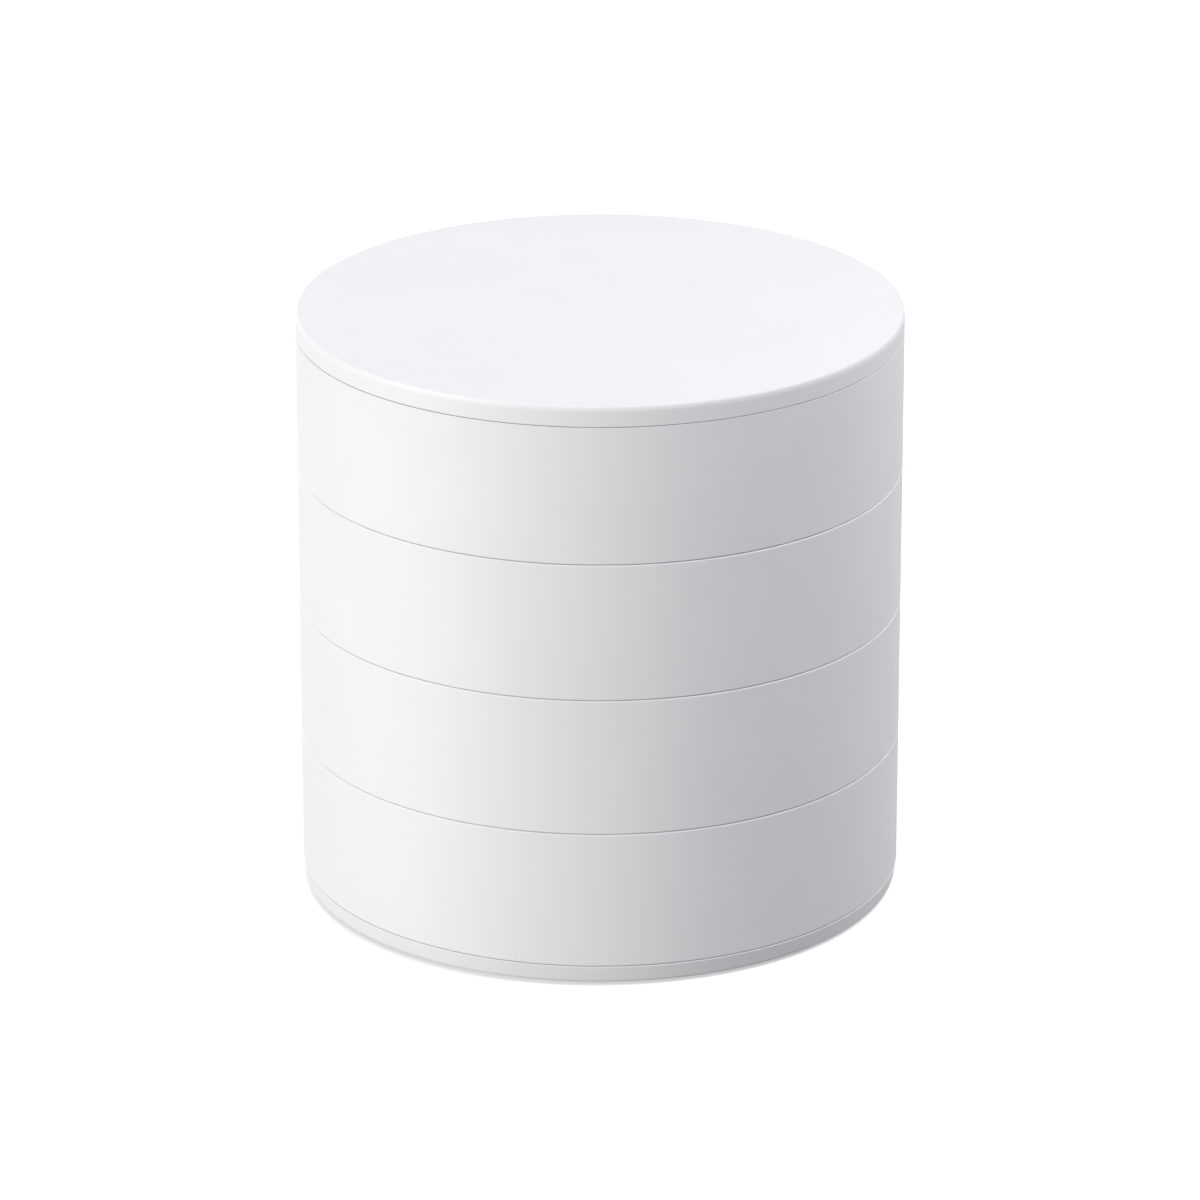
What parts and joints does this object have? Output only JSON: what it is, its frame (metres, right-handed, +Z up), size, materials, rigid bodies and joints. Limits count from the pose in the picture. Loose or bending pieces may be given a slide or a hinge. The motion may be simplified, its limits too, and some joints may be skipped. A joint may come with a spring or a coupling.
{
  "type": "swivel storage case",
  "caption": "Round white storage case: stacked trays and a lid that swing out sideways on one hidden upright pivot just inside the rear wall, on a thin base plate with rubber pads.",
  "frame": {"origin": "the middle of the round footprint, on the table under the foot pads", "axes": "+Z up, front towards -Y, the swivel axis parallel to Z at the back, on +Y"},
  "size_m": [0.1, 0.1, 0.0996],
  "materials": {
    "white_abs": "white ABS, fine satin mould finish",
    "acetal": "natural acetal, machined",
    "turned_steel": "turned and ground shaft",
    "zinc_steel": "bright zinc plate",
    "spring_steel": "rolled spring strip",
    "brass": "turned brass",
    "pad_rubber": "pale grey pad, matt"
  },
  "bodies": {
    "base": {"base_plate": "white_abs", "base_bush": "acetal", "wave_washer": "spring_steel", "foot_pad_1": "pad_rubber", "foot_pad_2": "pad_rubber", "foot_pad_3": "pad_rubber", "foot_pad_4": "pad_rubber"},
    "tray_1": {"tray_1": "white_abs", "spacer_washer_1": "acetal"},
    "tray_2": {"tray_2": "white_abs", "spacer_washer_2": "acetal"},
    "tray_3": {"tray_3": "white_abs", "spacer_washer_3": "acetal"},
    "tray_4": {"tray_4": "white_abs", "spacer_washer_4": "acetal"},
    "lid": {"lid": "white_abs", "lid_hub": "brass", "pivot_shaft": "turned_steel", "retaining_washer": "zinc_steel", "retaining_screw": "zinc_steel"}
  },
  "joints": [
    {"name": "lid_swivel", "type": "hinge", "parent": "base", "child": "lid", "pos_m": [0, 0.0408, 0.0962], "axis": [0, 0, 1], "continuous": true},
    {"name": "tray_1_swivel", "type": "hinge", "parent": "base", "child": "tray_1", "pos_m": [0, 0.0408, 0.08456], "axis": [0, 0, 1], "continuous": true},
    {"name": "tray_2_swivel", "type": "hinge", "parent": "base", "child": "tray_2", "pos_m": [0, 0.0408, 0.06139], "axis": [0, 0, 1], "continuous": true},
    {"name": "tray_3_swivel", "type": "hinge", "parent": "base", "child": "tray_3", "pos_m": [0, 0.0408, 0.03821], "axis": [0, 0, 1], "continuous": true},
    {"name": "tray_4_swivel", "type": "hinge", "parent": "base", "child": "tray_4", "pos_m": [0, 0.0408, 0.01504], "axis": [0, 0, 1], "continuous": true}
  ]
}
